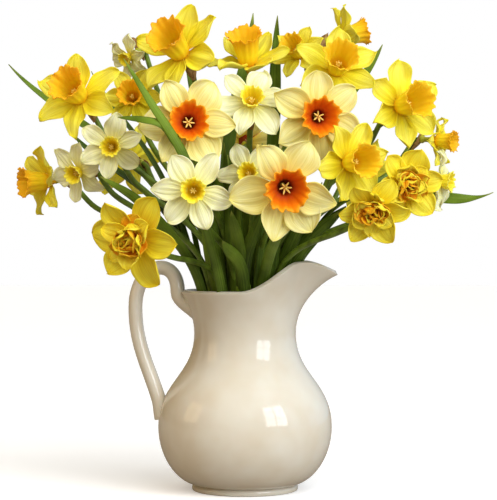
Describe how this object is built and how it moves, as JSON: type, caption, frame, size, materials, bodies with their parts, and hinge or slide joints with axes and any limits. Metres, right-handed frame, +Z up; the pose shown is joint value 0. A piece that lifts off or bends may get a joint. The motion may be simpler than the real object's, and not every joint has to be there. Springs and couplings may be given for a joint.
{
  "type": "daffodils in a jug",
  "caption": "Loose bunch of cut daffodils with their leaves, standing in a cream glazed pitcher with a pouring lip and a strap handle.",
  "frame": {"origin": "middle of the jug's flat foot, on the surface it stands on", "axes": "+Z up along the jug's axis, +X towards the pouring lip, -X towards the handle, -Y the front of the bunch"},
  "size_m": [0.4633, 0.3174, 0.4641],
  "materials": {
    "cream_glaze": "gloss",
    "trumpet_petals": "satin",
    "orange_cup_petals": "satin",
    "small_cup_petals": "satin",
    "double_petals": "satin",
    "stem_green": "satin",
    "leaf_green": "satin"
  },
  "bodies": {
    "root": {"jug": "cream_glaze", "trumpet_flower_1": "trumpet_petals", "trumpet_stem_1": "stem_green", "trumpet_flower_2": "trumpet_petals", "trumpet_stem_2": "stem_green", "trumpet_flower_3": "trumpet_petals", "trumpet_stem_3": "stem_green", "trumpet_flower_4": "trumpet_petals", "trumpet_stem_4": "stem_green", "trumpet_flower_5": "trumpet_petals", "trumpet_stem_5": "stem_green", "trumpet_flower_6": "trumpet_petals", "trumpet_stem_6": "stem_green", "trumpet_flower_7": "trumpet_petals", "trumpet_stem_7": "stem_green", "trumpet_flower_8": "trumpet_petals", "trumpet_stem_8": "stem_green", "trumpet_flower_9": "trumpet_petals", "trumpet_stem_9": "stem_green", "trumpet_flower_10": "trumpet_petals", "trumpet_stem_10": "stem_green", "trumpet_flower_11": "trumpet_petals", "trumpet_stem_11": "stem_green", "trumpet_flower_12": "trumpet_petals", "trumpet_stem_12": "stem_green", "trumpet_flower_13": "trumpet_petals", "trumpet_stem_13": "stem_green", "orange_cup_flower_1": "orange_cup_petals", "orange_cup_stem_1": "stem_green", "orange_cup_flower_2": "orange_cup_petals", "orange_cup_stem_2": "stem_green", "orange_cup_flower_3": "orange_cup_petals", "orange_cup_stem_3": "stem_green", "orange_cup_flower_4": "orange_cup_petals", "orange_cup_stem_4": "stem_green", "small_cup_flower_1": "small_cup_petals", "small_cup_stem_1": "stem_green", "small_cup_flower_2": "small_cup_petals", "small_cup_stem_2": "stem_green", "small_cup_flower_3": "small_cup_petals", "small_cup_stem_3": "stem_green", "small_cup_flower_4": "small_cup_petals", "small_cup_stem_4": "stem_green", "small_cup_flower_5": "small_cup_petals", "small_cup_stem_5": "stem_green", "small_cup_flower_6": "small_cup_petals", "small_cup_stem_6": "stem_green", "small_cup_flower_7": "small_cup_petals", "small_cup_stem_7": "stem_green", "double_flower_1": "double_petals", "double_stem_1": "stem_green", "double_flower_2": "double_petals", "double_stem_2": "stem_green", "double_flower_3": "double_petals", "double_stem_3": "stem_green", "leaf_tuft_1": "leaf_green", "leaf_tuft_2": "leaf_green", "leaf_tuft_3": "leaf_green", "leaf_tuft_4": "leaf_green", "leaf_tuft_5": "leaf_green"}
  },
  "joints": []
}
